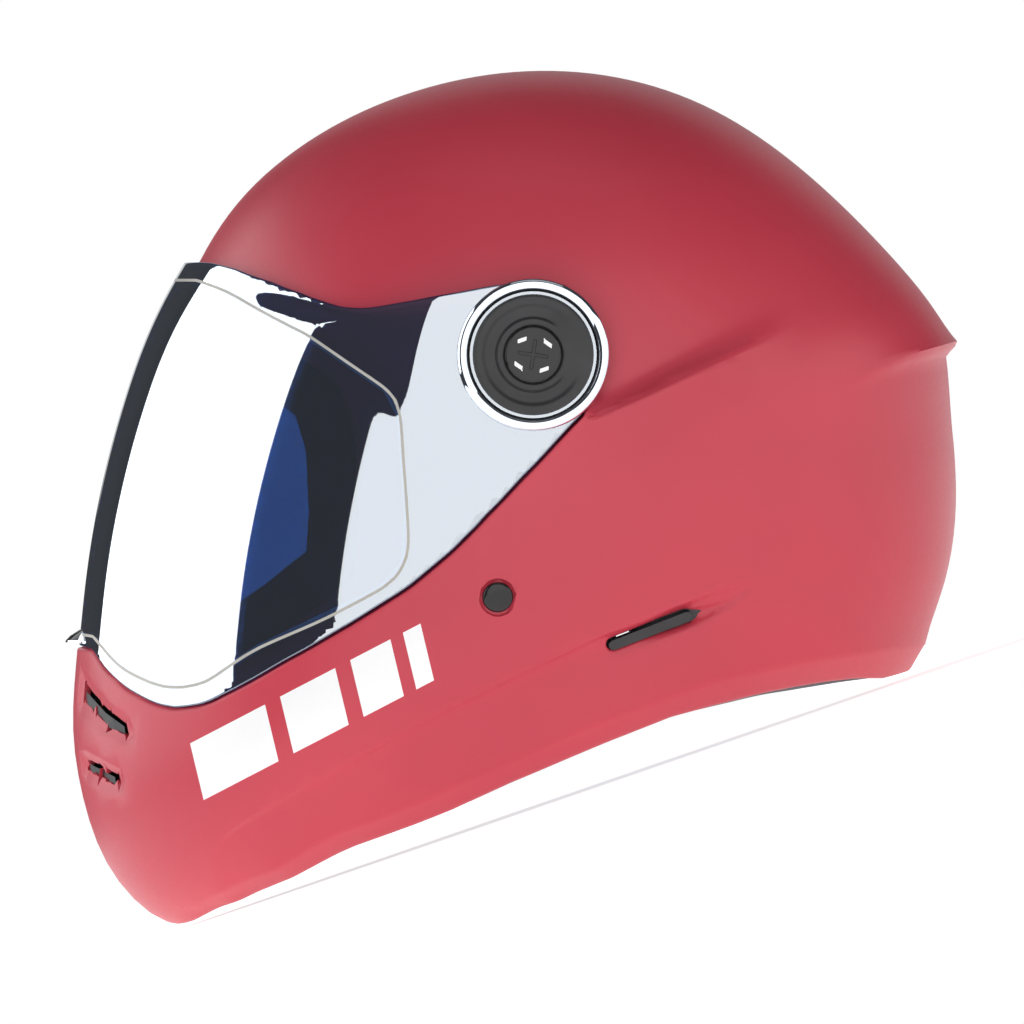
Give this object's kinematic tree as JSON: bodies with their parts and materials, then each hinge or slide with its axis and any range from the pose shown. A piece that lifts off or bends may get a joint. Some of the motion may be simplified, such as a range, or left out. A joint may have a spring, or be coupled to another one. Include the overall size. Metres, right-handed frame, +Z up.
{
  "type": "full-face helmet",
  "caption": "Full-face helmet with a pivoting mirrored visor, foam liner, removable pads and a double D-ring chin strap.",
  "frame": {"origin": "centre of the bounding box on the surface that the helmet stands on", "axes": "+Z up, the helmet faces -X, the wearer's left is -Y"},
  "size_m": [0.3438, 0.2602, 0.2548],
  "materials": {
    "shell": "satin red lacquer over a composite shell",
    "visor": "silver-blue mirror coating on a tinted polycarbonate visor",
    "insert": "clear inner anti-fog lens",
    "seal": "pale silicone bead",
    "rubber": "matte black rubber",
    "black_plastic": "fine-textured black plastic",
    "gloss_black": "glossy black",
    "vent_mesh": "black mesh",
    "foam": "black expanded foam beads",
    "comfort_fabric": "brushed knit lining",
    "cheek_fabric": "knit cloth over foam",
    "webbing": "woven black webbing",
    "steel": "polished steel",
    "zinc": "zinc plated steel"
  },
  "bodies": {
    "helmet": {"outer_shell": "shell", "eyeport_gasket": "rubber", "visor_base_left": "black_plastic", "base_screw_upper_left": "zinc", "base_screw_lower_left": "zinc", "friction_washer_left": "rubber", "pivot_cap_left": "black_plastic", "pivot_nut_left": "zinc", "visor_base_right": "black_plastic", "base_screw_upper_right": "zinc", "base_screw_lower_right": "zinc", "friction_washer_right": "rubber", "pivot_cap_right": "black_plastic", "pivot_nut_right": "zinc", "eps_crown_liner": "foam", "crown_comfort_pad": "comfort_fabric", "cheek_pad_left": "cheek_fabric", "cheek_pad_right": "cheek_fabric", "neck_roll": "cheek_fabric", "eps_chin_bar": "foam", "breath_deflector": "rubber", "chin_vent_upper_left": "vent_mesh", "chin_vent_lower_left": "vent_mesh", "exhaust_grille_left": "vent_mesh", "chin_vent_upper_right": "vent_mesh", "chin_vent_lower_right": "vent_mesh", "exhaust_grille_right": "vent_mesh", "strap_rivet_left": "gloss_black", "strap_rivet_right": "gloss_black"},
    "visor": {"visor_lens": "visor", "antifog_lens": "insert", "antifog_seal": "seal"},
    "left_pivot_screw": {"pivot_screw_left": "gloss_black"},
    "right_pivot_screw": {"pivot_screw_right": "gloss_black"},
    "left_strap": {"anchor_plate_left": "steel", "strap_left": "webbing"},
    "outer_ring": {"d_ring_outer": "steel"},
    "inner_ring": {"d_ring_inner": "steel"},
    "right_strap": {"anchor_plate_right": "steel", "strap_right": "webbing", "strap_snap": "zinc"}
  },
  "joints": [
    {"name": "visor_hinge", "type": "hinge", "parent": "helmet", "child": "visor", "pos_m": [0.03097, 0, 0.15203], "axis": [0, 1, 0], "range_deg": [0, 48]},
    {"name": "left_screw_turn", "type": "hinge", "parent": "helmet", "child": "left_pivot_screw", "pos_m": [0.03097, -0.12, 0.15203], "axis": [0, -1, 0], "range_deg": [0, 90]},
    {"name": "right_screw_turn", "type": "hinge", "parent": "helmet", "child": "right_pivot_screw", "pos_m": [0.03097, 0.12, 0.15203], "axis": [0, 1, 0], "range_deg": [0, 90]},
    {"name": "left_strap_swing", "type": "hinge", "parent": "helmet", "child": "left_strap", "pos_m": [-0.0087, -0.11534, 0.07672], "axis": [0, -0.9785, -0.2062], "range_deg": [-8, 8]},
    {"name": "right_strap_swing", "type": "hinge", "parent": "helmet", "child": "right_strap", "pos_m": [-0.0087, 0.11534, 0.07672], "axis": [0, 0.9785, -0.2062], "range_deg": [-8, 8]},
    {"name": "outer_ring_swing", "type": "hinge", "parent": "left_strap", "child": "outer_ring", "pos_m": [-0.0087, -0.10985, 0.04415], "axis": [-1, 0, 0], "range_deg": [0, 3]},
    {"name": "inner_ring_swing", "type": "hinge", "parent": "left_strap", "child": "inner_ring", "pos_m": [-0.0087, -0.10721, 0.0447], "axis": [-1, 0, 0], "range_deg": [-12, 0]}
  ]
}
